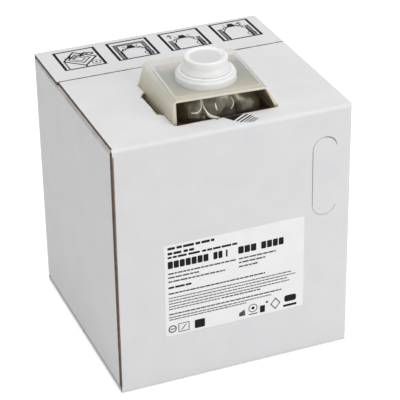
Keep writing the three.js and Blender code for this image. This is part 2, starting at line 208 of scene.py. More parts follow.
def apply_modifiers(obj):
    """Writes the object's modified mesh back as its own mesh."""
    graph = bpy.context.evaluated_depsgraph_get()
    mesh = bpy.data.meshes.new_from_object(obj.evaluated_get(graph))
    old = obj.data
    obj.modifiers.clear()
    obj.data = mesh
    mesh.name = obj.name
    bpy.data.meshes.remove(old)


def smoothstep(low, high, value):
    """0 up to low, 1 from high on, and an even rise between them."""
    t = min(1.0, max(0.0, (value - low) / (high - low)))
    return t * t * (3 - 2 * t)


def round_corners(points, radii, steps=5, turned=True):
    """The polygon with each corner rounded by its radius. A turned profile stays sharp on its axis."""
    rounded = []
    count = len(points)
    for i, point in enumerate(points):
        here = Vector(point)
        before = Vector(points[i - 1]) - here
        after = Vector(points[(i + 1) % count]) - here
        radius = radii[i] if isinstance(radii, list) else radii
        reach = min(radius, 0.45 * before.length, 0.45 * after.length)
        if reach < 0.02 or (turned and here.x <= 0.0):
            rounded.append(here)
            continue
        start = here + before.normalized() * reach
        end = here + after.normalized() * reach
        for k in range(steps + 1):
            t = k / steps
            rounded.append(start * (1 - t) ** 2 + here * (2 * t * (1 - t)) + end * t ** 2)
    return rounded


def tube(sections):
    """Points and faces of a closed solid through a row of sections, each a loop of as many points."""
    count = len(sections[0])
    verts = [point for section in sections for point in section]
    last = len(verts) - count
    faces = []
    for a in range(0, last, count):
        b = a + count
        for i in range(count):
            k = (i + 1) % count
            faces.append([a + i, a + k, b + k, b + i])
    faces.append(list(range(count)))
    faces.append([last + i for i in reversed(range(count))])
    return verts, faces


def lathe(profile, segments, centre):
    """Points and faces of a closed profile of (radius, height), turned about a vertical axis at centre."""
    verts, faces, rows = [], [], []
    for r, z in profile:
        if r <= 1e-6:
            rows.append([len(verts)] * segments)
            verts.append((centre.x, centre.y, centre.z + z))
            continue
        rows.append(list(range(len(verts), len(verts) + segments)))
        for i in range(segments):
            angle = 2 * math.pi * i / segments
            verts.append((centre.x + r * math.cos(angle), centre.y + r * math.sin(angle), centre.z + z))
    closed = profile[0][0] > 1e-6
    pairs = list(zip(rows, rows[1:])) + ([(rows[-1], rows[0])] if closed else [])
    for low, high in pairs:
        for i in range(segments):
            k = (i + 1) % segments
            face = [low[i], low[k], high[k], high[i]]
            face = [v for n, v in enumerate(face) if v not in face[:n]]
            if len(face) > 2:
                faces.append(face)
    return verts, faces


def thread_ridge(wall, direction, start, turns, segments=96):
    """Points and faces of a helical ridge on a round wall. direction is 1 outwards and -1 inwards."""
    sections = []
    steps = round(turns * segments)
    for i in range(steps + 1):
        angle = 2 * math.pi * i / segments
        z = SPOUT_CENTRE.z + start + PITCH * i / segments
        rise = THREAD_RISE * min(1.0, 0.2 + 0.8 * min(i, steps - i) / (segments / 12))
        root, crest = wall - direction * THREAD_SINK, wall + direction * rise
        sections.append([
            (SPOUT_CENTRE.x + r * math.cos(angle), SPOUT_CENTRE.y + r * math.sin(angle), z + dz)
            for r, dz in ((root, -THREAD_ROOT / 2), (crest, -THREAD_CREST / 2),
                          (crest, THREAD_CREST / 2), (root, THREAD_ROOT / 2))
        ])
    return tube(sections)


def joined(*meshes):
    """The points and faces of several meshes as one."""
    verts, faces = [], []
    for more_verts, more_faces in meshes:
        faces += [[v + len(verts) for v in face] for face in more_faces]
        verts += more_verts
    return verts, faces


# Materials

WAVE_BANDS_PER_SCALE = 3.18


class Surface:
    """A material in the object's own metres, and the procedural nodes that feed its shader."""

    def __init__(self, name, color, roughness, **sockets):
        self.material = bpy.data.materials.new(name)
        self.material.use_nodes = True
        self.nodes = self.material.node_tree.nodes
        self.links = self.material.node_tree.links
        self.shader = self.nodes["Principled BSDF"]
        self.place = self.nodes.new("ShaderNodeTexCoord").outputs["Object"]
        self.normal = None
        self.shader.inputs["Base Color"].default_value = (*color, 1)
        self.shader.inputs["Roughness"].default_value = roughness
        for socket, value in sockets.items():
            self.shader.inputs[socket.replace("_", " ")].default_value = value

    def node(self, kind, output, inputs, **settings):
        """Adds a node, sets or links its inputs, and gives one of its outputs."""
        node = self.nodes.new(kind)
        for name, value in settings.items():
            setattr(node, name, value)
        for socket, value in inputs.items():
            if isinstance(value, bpy.types.NodeSocket):
                self.links.new(value, node.inputs[socket])
            else:
                node.inputs[socket].default_value = value
        return node.outputs[output]

    def noise(self, scale, **inputs):
        return self.node("ShaderNodeTexNoise", "Fac", {"Vector": self.place, "Scale": scale, **inputs})

    def math(self, operation, *values, **settings):
        inputs = dict(enumerate(values))
        return self.node("ShaderNodeMath", "Value", inputs, operation=operation, **settings)

    def vector_math(self, operation, output, *values):
        return self.node("ShaderNodeVectorMath", output, dict(enumerate(values)), operation=operation)

    def spread(self, factor, low, high, from_low=0.0, from_high=1.0):
        """The factor mapped from one range to another, and clamped there."""
        inputs = {"Value": factor, "From Min": from_low, "From Max": from_high}
        return self.node("ShaderNodeMapRange", "Result", {**inputs, "To Min": low, "To Max": high})

    def feed(self, socket, output):
        self.links.new(output, self.shader.inputs[socket])

    def ramp(self, factor, stops):
        """Feeds the base colour from stops, each a place and a colour."""
        ramp = self.nodes.new("ShaderNodeValToRGB")
        elements = ramp.color_ramp.elements
        for i, (place, color) in enumerate(stops):
            element = elements[i] if i < 2 else elements.new(place)
            element.position = place
            element.color = (*color, 1)
        self.links.new(factor, ramp.inputs["Fac"])
        self.feed("Base Color", ramp.outputs["Color"])

    def tint(self, factor, dark, light, low=0.3, high=0.7):
        self.ramp(factor, ((low, dark), (high, light)))

    def bump(self, height, distance, strength):
        inputs = {"Height": height, "Distance": distance, "Strength": strength}
        if self.normal is not None:
            inputs["Normal"] = self.normal
        self.normal = self.node("ShaderNodeBump", "Normal", inputs)
        self.feed("Normal", self.normal)

    def roughness(self, factor, low, high):
        self.feed("Roughness", self.spread(factor, low, high))


def board_material(name, flute_axis):
    """White clay-coated liner: faint mottling, fibre grain, and the flutes showing through a little."""
    surface = Surface(name, (0.76, 0.76, 0.77), 0.6, Specular_IOR_Level=0.3)
    cloud = surface.noise(38, Detail=5.0, Roughness=0.6)
    surface.tint(cloud, (0.737, 0.739, 0.75), (0.772, 0.772, 0.781))
    scale = 1 / (FLUTE_PITCH * MM) / WAVE_BANDS_PER_SCALE
    inputs = {"Vector": surface.place, "Scale": scale, "Distortion": 0.25, "Detail Scale": 12}
    flutes = surface.node("ShaderNodeTexWave", "Fac", inputs, wave_type="BANDS", bands_direction=flute_axis)
    surface.bump(flutes, 0.00004, 0.55)
    surface.bump(surface.noise(900, Detail=4.0, Roughness=0.65), 0.00006, 0.5)
    surface.roughness(cloud, 0.5, 0.72)
    return surface.material


def kraft_edge_material():
    """The raw cut edge of the board: brown fibre, with painted shade darkening its hollows."""
    surface = Surface("kraft_edge", (0.2, 0.13, 0.08), 0.9)
    hollow_shade = surface.noise(170, Detail=2.0)
    fibre = surface.noise(700, Detail=5.0, Roughness=0.7)
    mix = surface.math("MULTIPLY", hollow_shade, fibre)
    surface.tint(mix, (0.07, 0.047, 0.035), (0.2, 0.14, 0.1), 0.12, 0.4)
    surface.bump(fibre, 0.0002, 0.7)
    return surface.material


def kraft_liner_material():
    """The board's brown inner liner."""
    surface = Surface("kraft_liner", (0.3, 0.2, 0.12), 0.85)
    fibre = surface.noise(160, Detail=6.0, Roughness=0.7)
    surface.tint(fibre, (0.23, 0.15, 0.09), (0.36, 0.25, 0.16))
    surface.bump(fibre, 0.0001, 0.5)
    return surface.material


def paper_material():
    """The label's smooth white paper."""
    surface = Surface("label_paper", (0.9, 0.9, 0.9), 0.45, Specular_IOR_Level=0.35)
    surface.tint(surface.noise(60, Detail=4.0), (0.885, 0.885, 0.885), (0.91, 0.91, 0.907))
    surface.bump(surface.noise(1500, Detail=3.0), 0.00002, 0.4)
    return surface.material


def ink_material(name, color, spread):
    """Printing ink, a little uneven where it sinks into the paper."""
    surface = Surface(name, color, 0.6, Specular_IOR_Level=0.1)
    cloud = surface.noise(1100, Detail=3.0, Roughness=0.7)
    surface.tint(cloud, color, tuple(c + spread for c in color), 0.4, 0.75)
    surface.roughness(cloud, 0.45, 0.7)
    return surface.material


def film_material(name, dark, light, metallic):
    """Metallised film with fine creases, whose given colours paint its light and shade."""
    surface = Surface(name, light, 0.3, Metallic=metallic)
    surface.tint(surface.noise(60, Detail=3.0), dark, light)
    cells = {"Vector": surface.place, "Scale": 150}
    creases = surface.node("ShaderNodeTexVoronoi", "Distance", cells, feature="DISTANCE_TO_EDGE")
    crinkle = surface.noise(190, Detail=4.0, Roughness=0.6, Distortion=0.8)
    surface.bump(creases, 0.0003, 0.05)
    surface.bump(crinkle, 0.0004, 0.12)
    surface.roughness(crinkle, 0.26, 0.42)
    return surface.material


def plastic_material(name, dark, light, rough, subsurface=0.0, bump=0.00003):
    """A matt or satin surface with a soft mottling and a fine grain."""
    surface = Surface(name, light, rough, Subsurface_Weight=subsurface, Subsurface_Radius=(1.0, 1.0, 0.95),
                      Subsurface_Scale=0.004, IOR=1.45)
    cloud = surface.noise(55, Detail=4.0, Roughness=0.55)
    surface.tint(cloud, dark, light)
    surface.bump(surface.noise(700, Detail=3.0), bump, 0.5)
    surface.roughness(cloud, rough - 0.06, rough + 0.06)
    return surface.material


def milky_material(name, stops, axis, low, high, glow):
    """Milky see-through plastic with painted light and shade along an axis, from low to high in
    millimetres.
    """
    # glow paints a faint warm glow: the plastic has no lamp in it
    surface = Surface(name, stops[-1], 0.42, Subsurface_Weight=0.85, Subsurface_Radius=(1.0, 0.9, 0.7),
                      Subsurface_Scale=0.006, IOR=1.45, Emission_Color=(1.0, 0.9, 0.7, 1),
                      Emission_Strength=glow)
    along = surface.node("ShaderNodeSeparateXYZ", axis, {"Vector": surface.place})
    cloud = surface.noise(40, Detail=3.0)
    factor = surface.math("MULTIPLY_ADD", cloud, 0.3, surface.spread(along, 0, 1, low * MM, high * MM))
    last = len(stops) - 1
    surface.ramp(factor, [(min(1.0, 0.15 + i / last), color) for i, color in enumerate(stops)])
    surface.bump(surface.noise(700, Detail=3.0), 0.00003, 0.5)
    surface.roughness(cloud, 0.36, 0.5)
    return surface.material


def cap_material(name):
    """White plastic, with painted shade in its thin dished top, where the dark neck shows through."""
    surface = Surface(name, (0.83, 0.83, 0.82), 0.38, Subsurface_Weight=0.3,
                      Subsurface_Radius=(1.0, 1.0, 0.95), Subsurface_Scale=0.003)
    level = surface.vector_math("MULTIPLY", "Vector", surface.place, (1, 1, 0))
    radius = surface.vector_math("DISTANCE", "Value", level, (SPOUT_AXIS.x * MM, SPOUT_AXIS.y * MM, 0))
    cloud = surface.noise(120, Detail=3.0)
    uneven = surface.math("MULTIPLY_ADD", cloud, 0.003, radius)
    # Painted shade: darker within the dish, towards the middle
    share = surface.spread(uneven, 0, 1, 0, DISH_SHADE_RADIUS * MM)
    surface.tint(share, (0.7, 0.7, 0.7), (0.88, 0.88, 0.87), 0.82, 0.98)
    surface.bump(surface.noise(700, Detail=3.0), 0.00003, 0.5)
    surface.roughness(cloud, 0.32, 0.44)
    return surface.material


BOARD_X = board_material("board_white", "X")
BOARD_Y = board_material("board_white_side", "Y")
BOARD_FOLD = plastic_material("board_fold", (0.5, 0.45, 0.43), (0.66, 0.62, 0.61), 0.75, bump=0.0002)
CUT_SHADOW = plastic_material("cut_shadow", (0.08, 0.08, 0.08), (0.22, 0.21, 0.2), 0.85, bump=0.0001)
SEAM_SHADOW = plastic_material("seam_shadow", (0.04, 0.025, 0.02), (0.13, 0.075, 0.06), 0.85, bump=0.0001)
KRAFT_EDGE = kraft_edge_material()
KRAFT_LINER = kraft_liner_material()
CORNER_EDGE_SHADE = plastic_material("corner_edge_shade", (0.16, 0.1, 0.065), (0.42, 0.3, 0.22), 0.8, bump=0.0001)
TORN_PAPER = plastic_material("torn_paper", (0.5, 0.4, 0.28), (0.86, 0.82, 0.74), 0.8, bump=0.0002)
PAPER = paper_material()
INK = ink_material("black_ink", (0.008, 0.008, 0.009), 0.02)
GREY_INK = ink_material("grey_ink", (0.07, 0.07, 0.07), 0.05)
# The bag's dark colours are painted shade and dark reflection under the bracket
FILM = film_material("metallised_film", (0.115, 0.108, 0.075), (0.27, 0.26, 0.2), 0.85)
# Painted highlights along the film's folds
FOLD_HIGHLIGHT_FILM = film_material("fold_highlight", (0.75, 0.7, 0.58), (0.95, 0.92, 0.82), 0.2)
SHADED_FILM = film_material("film_shade", (0.045, 0.03, 0.018), (0.09, 0.062, 0.04), 0.5)
# Painted light and shade: the plate darker over the dark film in the middle, lighter at the rear
PANEL_LIGHT_AND_SHADE = ((0.5, 0.465, 0.365), (0.36, 0.365, 0.335), (0.39, 0.39, 0.365), (0.6, 0.565, 0.535))
RIM_LIGHT_AND_SHADE = ((0.52, 0.5, 0.41), (0.56, 0.57, 0.52), (0.69, 0.66, 0.63))
# Painted shade: the legs darker lower down; their insides also take the brown board's painted reflection
LEG_LIGHT_AND_SHADE = ((0.38, 0.31, 0.19), (0.52, 0.49, 0.37), (0.64, 0.62, 0.55))
INSIDE_PAINTED_SHADE = ((0.2, 0.14, 0.07), (0.42, 0.33, 0.2), (0.55, 0.5, 0.38))
# Painted highlight: the plate's cut edges lit bright
EDGE_PAINTED_HIGHLIGHT = ((0.66, 0.62, 0.5), (0.7, 0.67, 0.57))
PLATE_SPAN = (-85, 3)
BRACKET_PLATE = milky_material("bracket_panel", PANEL_LIGHT_AND_SHADE, "Y", *PLATE_SPAN, 0.03)
BRACKET_RIM = milky_material("bracket_rim", RIM_LIGHT_AND_SHADE, "Y", *PLATE_SPAN, 0.03)
BRACKET_LEG = milky_material("bracket_leg", LEG_LIGHT_AND_SHADE, "Z", 240, 268, 0.035)
BRACKET_INSIDE_SHADE = milky_material("bracket_inside_shade", INSIDE_PAINTED_SHADE, "Z", 246, 268, 0.02)
BRACKET_EDGE_HIGHLIGHT = milky_material("bracket_cut_edge_highlight", EDGE_PAINTED_HIGHLIGHT, "Z", 250, 270, 0.03)
SPOUT_MATERIAL = plastic_material("spout_plastic", (0.8, 0.805, 0.785), (0.86, 0.865, 0.85), 0.34, 0.6)
CAP_MATERIAL = cap_material("cap_plastic")
FOAM = plastic_material("seal_foam", (0.84, 0.84, 0.82), (0.9, 0.9, 0.88), 0.85, bump=0.0002)


# Carton

def panel_bulge(p):
    """How far a point of the carton moves: each panel bellies a little between its folds."""
    mid_z = p.z - TOP / 2

    def belly(along, half, outward, half_depth):
        rise = max(0.0, 1 - (along / half) ** 2) * max(0.0, 1 - (mid_z / (TOP / 2)) ** 2)
        return rise * smoothstep(half_depth - BOARD - 1, half_depth - BOARD, outward)

    left = belly(p.y, HALF_D, -p.x, HALF_W)
    right = belly(p.y, HALF_D, p.x, HALF_W)
    front = belly(p.x, HALF_W, -p.y, HALF_D)
    rear = belly(p.x, HALF_W, p.y, HALF_D)
    return Vector((right - left, rear - front, 0)) * PANEL_BULGE


LINER_FRONT, LINER_SIDE, CUT_EDGE, INNER_LINER, FLAP_FOLD = range(5)
EDGE_TOLERANCE = 0.1
SKIN = 0.2


def carton_slot(center, normal):
    """Which of the carton's materials a face has."""
    at_side = abs(center.x) > HALF_W - FOLD_RADIUS - EDGE_TOLERANCE
    at_end = abs(center.y) > HALF_D - FOLD_RADIUS - EDGE_TOLERANCE
    if center.z > TOP - BOARD or center.z < BOARD:
        return outer_flap_slot(center, normal, at_side, at_end)
    return panel_slot(center, normal, at_side, at_end)


def outer_flap_slot(center, normal, at_side, at_end):
    on_top_half = center.z > TOP / 2
    if abs(normal.z) > 0.9:
        on_outside = center.z > TOP - SKIN or center.z < SKIN
        return LINER_FRONT if on_outside or (at_side and not on_top_half) else INNER_LINER
    if abs(normal.x) > 0.5:
        return CUT_EDGE if on_top_half else LINER_SIDE
    return LINER_FRONT if at_end else CUT_EDGE


def panel_slot(center, normal, at_side, at_end):
    behind_front = center.y + HALF_D
    from_left = center.x + HALF_W
    in_left_groove = BOARD - EDGE_TOLERANCE < behind_front < BOARD + FOLD_RADIUS and from_left < FOLD_RADIUS
    on_raw_edge = behind_front < BOARD + 0.01 and normal.x < -0.7 and from_left < SKIN
    if in_left_groove or on_raw_edge:
        return CUT_EDGE
    if at_side and not at_end and center.z > TOP - BOARD - FOLD_RADIUS and abs(normal.x) > 0.1:
        return FLAP_FOLD
    in_hand_hole = behind_front < HAND_HOLE_DEPTH + EDGE_TOLERANCE and abs(center.x) < HALF_W - FOLD_RADIUS
    if abs(center.y) > HALF_D - SKIN or in_hand_hole:
        return LINER_FRONT
    outward = Vector((center.x if at_side else 0, center.y if at_end else 0, 0))
    if normal.dot(outward) > 0.2:
        outside_side = abs(center.x) > HALF_W - FOLD_RADIUS
        outside_end = abs(center.y) > HALF_D - FOLD_RADIUS
        if outside_side or outside_end:
            return LINER_SIDE if outside_side and abs(normal.x) > abs(normal.y) else LINER_FRONT
    return INNER_LINER


def make_carton():
    """The carton's own solid, cut along a grid so that its panels can belly."""
    bm = bmesh.new()
    bm.from_mesh(frame["nodes"]["carton"].data)
    for vertex in bm.verts:
        vertex.co /= MM
    bmesh.ops.remove_doubles(bm, verts=bm.verts, dist=0.001)
    bmesh.ops.dissolve_limit(bm, angle_limit=math.radians(0.5), verts=bm.verts, edges=bm.edges)
    for axis, low, high in ((0, -HALF_W, HALF_W), (1, -HALF_D, HALF_D), (2, 0, TOP)):
        count = int((high - low) / GRID_STEP)
        normal = Vector((0, 0, 0))
        normal[axis] = 1
        for i in range(1, count):
            parts = bm.verts[:] + bm.edges[:] + bm.faces[:]
            point = normal * (low + (high - low) * i / count)
            bmesh.ops.bisect_plane(bm, geom=parts, plane_co=point, plane_no=normal)
    bmesh.ops.triangulate(bm, faces=bm.faces)
    bm.normal_update()
    for face in bm.faces:
        face.material_index = carton_slot(face.calc_center_median(), face.normal)
    for vertex in bm.verts:
        vertex.co = (vertex.co + panel_bulge(vertex.co)) * MM
    mesh = bpy.data.meshes.new("carton_board")
    bm.to_mesh(mesh)
    bm.free()
    for material in (BOARD_X, BOARD_Y, KRAFT_EDGE, KRAFT_LINER, BOARD_FOLD):
        mesh.materials.append(material)
    settle(finish_object("carton_board", mesh), "container", "carton")


# Print: flat pieces of ink, drawn in a plane and laid on the carton or the label

class Print:
    """Collects flat ink shapes, each a closed thin solid, on one surface."""

    SINK = 0.02
    RISE = 0.035
    STEP = 12.0

    def __init__(self, place):
        self.place = place
        self.verts = []
        self.faces = []

    def polygon(self, points):
        sections = [[self.place(u, v, lift) for u, v in points] for lift in (-self.SINK, self.RISE)]
        verts, faces = tube(sections)
        start = len(self.verts)
        self.verts += verts
        self.faces += [[start + v for v in face] for face in faces]

    def bar(self, left, right, low, high):
        pieces = max(1, math.ceil((right - left) / self.STEP))
        for i in range(pieces):
            a = left + (right - left) * i / pieces
            b = left + (right - left) * (i + 1) / pieces
            self.polygon([(a, low), (b, low), (b, high), (a, high)])

    def line(self, start, end, width):
        a, b = Vector(start), Vector(end)
        along = (b - a).normalized() * (width / 2)
        side = Vector((-along.y, along.x))
        corners = (a - along - side, b + along - side, b + along + side, a - along + side)
        self.polygon([tuple(c) for c in corners])

    def path(self, points, width, closed=False):
        ends = list(points) + ([points[0]] if closed else [])
        for start, end in zip(ends, ends[1:]):
            self.line(start, end, width)

    def ring(self, u, v, radius, width, steps=28):
        for i in range(steps):
            a, b = 2 * math.pi * i / steps, 2 * math.pi * (i + 1) / steps
            inner, outer = radius - width / 2, radius + width / 2
            self.polygon([(u + r * math.cos(t), v + r * math.sin(t))
                          for r, t in ((inner, a), (outer, a), (outer, b), (inner, b))])

    def disc(self, u, v, radius, steps=24):
        angles = [2 * math.pi * i / steps for i in range(steps)]
        self.polygon([(u + radius * math.cos(t), v + radius * math.sin(t)) for t in angles])

    def rounded(self, left, right, low, high, radius):
        corners = [(left, low), (right, low), (right, high), (left, high)]
        self.polygon([tuple(p) for p in round_corners(corners, radius, 4, turned=False)])

    def make(self, name, material, slot_name):
        obj = make_object(name, self.verts, self.faces, [material], smooth=False)
        settle(obj, "container")


def on_front(u, v, lift):
    """A point on the front panel or the label: u is X, v is Z, lift stands out of the surface."""
    base = Vector((u, -HALF_D, v))
    return base + panel_bulge(base) + Vector((0, -lift, 0))


def on_label(u, v, lift):
    return on_front(u, v, lift + LABEL_THICKNESS)


def on_top(u, v, lift):
    return Vector((u, v, TOP + lift))


def make_label():
    """The sticker: a thin sheet that follows the panel's belly."""
    across, up = 30, 22
    verts, faces = [], []
    for lift in (LABEL_LIFT, LABEL_THICKNESS):
        for j in range(up + 1):
            for i in range(across + 1):
                u = LABEL_LOW.x + (LABEL_HIGH.x - LABEL_LOW.x) * i / across
                v = LABEL_LOW.z + (LABEL_HIGH.z - LABEL_LOW.z) * j / up
                if i in (0, across) and j in (0, up):
                    u += LABEL_CORNER if i == 0 else -LABEL_CORNER
                    v += LABEL_CORNER if j == 0 else -LABEL_CORNER
                verts.append(on_front(u, v, lift))
    row = across + 1
    layer = row * (up + 1)
    for j in range(up):
        for i in range(across):
            a = j * row + i
            faces.append([a, a + row, a + row + 1, a + 1])
            faces.append([layer + a, layer + a + 1, layer + a + row + 1, layer + a + row])
    rim = list(range(row)) + [j * row + across for j in range(1, up + 1)]
    rim += [up * row + i for i in range(across - 1, -1, -1)] + [j * row for j in range(up - 1, 0, -1)]
    for a, b in zip(rim, rim[1:] + rim[:1]):
        faces.append([a, b, b + layer, a + layer])
    obj = make_object("label_sheet", verts, faces, [PAPER], sharp_angle=30)
    settle(obj, "container", "label")


def words(ink, left, right, middle, height):
    """A line of plain bars as long as words, which spells nothing."""
    low, high = middle - height / 2, middle + height / 2
    gap = 0.42 * height
    u = left
    while u < right - gap:
        end = min(right, u + rng.uniform(1.6, 4.6) * height)
        if right - end < 1.2 * height:
            end = right
        ink.rounded(u, end, low, high, 0.2 * height)
        u = end + gap


def blocks(ink, left, right, middle, height):
    """A heavy word as plain upright blocks."""
    count = max(1, round((right - left) / (0.72 * height)))
    pitch = (right - left) / count
    gap = 0.11 * height if count > 1 else 0.0
    for i in range(count):
        ink.rounded(left + i * pitch + gap / 2, left + (i + 1) * pitch - gap / 2,
                    middle - height / 2, middle + height / 2, 0.14 * height)


def make_label_print():
    ink = Print(on_label)
    for middle, height, spans in (
        (142.8, 2.5, ((PRINT_LEFT, -59), (-57.5, -41), (-39.5, -21.5))),
        (137.7, 2.5, ((PRINT_LEFT, -53), (-51, -41))),
        (133.7, 2.1, ((PRINT_LEFT, -48), (-46.5, -35.5), (-33.5, 0.5))),
        (102.5, 2.0, ((PRINT_LEFT, -44),)),
        (96.2, 1.35, ((PRINT_LEFT, 28),)),
        (79.8, 1.2, ((-15.2, 23),)),
        (74.3, 1.25, ((PRINT_LEFT, 44.5),)),
    ):
        for left, right in spans:
            words(ink, left, right, middle, height)
    for left, right in ((-66.5, -27), (-23, -13.5), (-10.6, -9), (1, 19.5), (23.5, 46.5)):
        blocks(ink, left, right, 126, 7.4)
    ink.rounded(-41.5, -31.5, 53.6, 62.6, 1.2)
    ink.rounded(47.5, 59.5, 59.2, 66.2, 2.6)
    ink.bar(46.5, 60, 54, 56.4)
    ink.ring(-63, 58.4, 3.4, 1.1)
    ink.bar(-65, -61, 57.9, 58.9)
    ink.path([(-57, 54), (-47, 54), (-47, 62.5), (-57, 62.5)], 0.7, closed=True)
    ink.line((-54, 56), (-50, 60.5), 0.8)
    ink.ring(16, 61, 4.1, 0.7)
    ink.disc(16, 61, 1.6)
    ink.bar(11.8, 20.4, 54.2, 55.2)
    ink.rounded(23, 28, 54, 61.5, 0.8)
    ink.disc(30, 64, 1.2)
    ink.path([(38.5, 66), (43, 60.3), (38.5, 54.6), (34, 60.3)], 0.9, closed=True)
    ink.make("label_print", INK, "print_ink")

    grey = Print(on_label)
    for left, right, middle, height in (
        (PRINT_LEFT, -1, 117.0, 1.5),
        (PRINT_LEFT, -36.5, 113.0, 1.5),
        (PRINT_LEFT, -11.5, 108.7, 1.5),
        (COLUMN_LEFT, 38.5, 117.0, 1.5),
        (COLUMN_LEFT, 28, 113.0, 1.5),
        (COLUMN_LEFT, 20.5, 108.7, 1.5),
        (PRINT_LEFT, 54, 91.5, 1.05),
        (PRINT_LEFT, 58.5, 88.5, 1.05),
        (PRINT_LEFT, 50, 85.5, 1.05),
        (PRINT_LEFT, 52.5, 82.5, 1.05),
        (PRINT_LEFT, -16.5, 79.8, 1.05),
        (PRINT_LEFT, 34.5, 71.0, 1.05),
        (PRINT_LEFT, 9.5, 68.5, 1.05),
    ):
        words(grey, left, right, middle, height)
    grey.polygon([(2.2, 55), (8.5, 55), (7.6, 61.5), (2.2, 58.8)])
    grey.make("label_print_grey", GREY_INK, "print_ink")


# Cut line of the hand hole, whose tab is still in place

def make_hand_hole_line():
    """The cut's gap as painted shadow: an even line on the left, and a wider one at the top right end."""
    ink = Print(on_front)
    radius = HAND_HOLE_WIDTH / 2
    straight = HAND_HOLE_HEIGHT / 2 - radius
    inset, narrow, wide = 0.3, 0.25, 0.75
    reach = radius - inset
    left = HAND_HOLE_X - reach
    rows = 8
    for i in range(rows):
        low = HAND_HOLE_Z - straight + 2 * straight * i / rows
        ink.line((left, low), (left, low + 2 * straight / rows), 0.4)
    steps, first_angle, sweep = 14, 92, 82
    for i in range(steps):
        start, end = (math.radians(first_angle - sweep * k / steps) for k in (i, i + 1))
        width = narrow + wide * math.sin(math.pi * (i + 1) / (steps + 1))
        ends = [(HAND_HOLE_X + reach * math.cos(a), HAND_HOLE_Z + straight + reach * math.sin(a))
                for a in (start, end)]
        ink.line(ends[0], ends[1], width)
    ink.make("hand_hole_line", CUT_SHADOW, "board")


# Printing on the top: four framed line drawings of a box with a spout, and a patch of stripes

FRAME_SIZE = 41.5
FRAME_LINE = 1.9
FRAME_SIDE = 2.7
FRAME_LEFTS = (-98.3, -45.3, 7.8, 60.8)
FRAME_BASE = 58.4
TOP_PRINT_SLOPE = 0.0155
DRAWING_BASE = 2.4

# Each later drawing's wall top, neck height and bag top, and then its arrow's place and span, or None
# where it has a lid
LATER_DRAWINGS = (
    (31, 26, 22, None),
    (22, 27, 18, (9.5, 27, 35)),
    (27, 32, 24, (29.8, 29.5, 36.0)),
)


def hatch_rect(ink, left, right, low, high, pitch=1.25, width=0.6):
    """Slanted hatching clipped to a rectangle."""
    offset = low - right
    while offset < high - left:
        ends = []
        for u in (left, right):
            v = u + offset
            if low <= v <= high:
                ends.append((u, v))
        for v in (low, high):
            u = v - offset
            if left < u < right:
                ends.append((u, v))
        if len(ends) >= 2:
            a, b = Vector(ends[0]), Vector(ends[1])
            if (b - a).length > 0.6:
                ink.line(a, b, width)
        offset += pitch


def draw_frame(ink):
    size, line, side = FRAME_SIZE, FRAME_LINE, FRAME_SIDE
    ink.bar(0, size, 0, line)
    ink.bar(0, size, size - line, size)
    ink.bar(0, side, line, size - line)
    ink.bar(size - side, size, line, size - line)


def step_mark(ink):
    ink.ring(33.2, 8.2, 4.0, 0.8)
    ink.disc(33.2, 8.2, 1.3)


def closed_box_step(ink, fine):
    """A closed carton seen from above, turned, with its hatch marked and its flaps hatched."""
    ink.path([(5.2, 20), (19, 36.4), (37, 20.5), (22, 4.6)], 1.7, closed=True)
    ink.line((5.2, 18.8), (5.2, 3), 1.2)
    ink.line((22, 4.4), (22, 2.4), 1.6)
    ink.path([(10, 21), (19, 31), (31, 20.5), (22, 11)], 1.2, closed=True)
    fine.path([(14.5, 21), (19.4, 26.4), (26.2, 20.4), (21.2, 15.4)], 1.1, closed=True)
    for k in range(7):
        ink.line((13.5 + 2.6 * k, 26 + 1.1 * k), (15.5 + 2.6 * k, 22.5 + 1.0 * k), 1.4)
    ink.path([(24, 28), (28, 31.5), (33, 31), (36, 27.5)], 1.6)
    ink.path([(8, 25.5), (12, 25), (14, 29)], 1.4)
    ink.line((33, 26.5), (36, 27.5), 1.0)
    ink.line((36, 27.5), (36.6, 31), 1.0)


def section_box(ink, wall_top, neck, bag_top, arrow):
    """A carton in section with the bag and its spout, closed by a lid or with an arrow that points up."""
    wall, left, right = 3.4, 5.0, 36.5
    middle = (left + right) / 2
    inner = middle - left - wall - 0.8
    for side in (left, right - wall):
        hatch_rect(ink, side, side + wall, DRAWING_BASE, wall_top)
        ink.line((side, DRAWING_BASE), (side, wall_top), 0.75)
        ink.line((side + wall, DRAWING_BASE), (side + wall, wall_top), 0.75)
    for side in (-1, 1):
        bag = ((inner, DRAWING_BASE), (inner, bag_top - 3), (inner - 2.5, bag_top),
               (7.5, neck - 5), (4.5, neck - 3))
        clip = ((8.5, neck - 2.5), (10.5, neck - 5.5), (8.8, neck - 7.5))
        ink.path([(middle + side * u, v) for u, v in bag], 1.0)
        ink.path([(middle + side * u, v) for u, v in clip], 1.0)
        ink.line((middle + side * 5.5, neck + 0.6), (middle + side * 7.5, neck + 2.4), 0.9)
    ink.bar(middle - 8.5, middle + 8.5, neck - 3.2, neck - 1.8)
    ink.bar(middle - 4, middle + 4, neck - 2, neck + 1.4)
    ink.bar(middle - 2.8, middle + 2.8, neck + 1.4, neck + 4.2)
    if arrow:
        u, low, high = arrow
        ink.line((u, low), (u, high), 1.1)
        ink.path([(u - 2.2, high - 2.6), (u, high), (u + 2.2, high - 2.6)], 1.1)
    else:
        hatch_rect(ink, left, right, wall_top, wall_top + wall)
        ink.line((left, wall_top + wall), (right, wall_top + wall), 0.75)


def frame_place(left):
    """Where a point of one drawing lies: the row of frames is printed at a slight slope."""
    base = FRAME_BASE + TOP_PRINT_SLOPE * (left - FRAME_LEFTS[0])
    return lambda u, v, lift: on_top(left + u, base + v + TOP_PRINT_SLOPE * u * 0.5, lift)


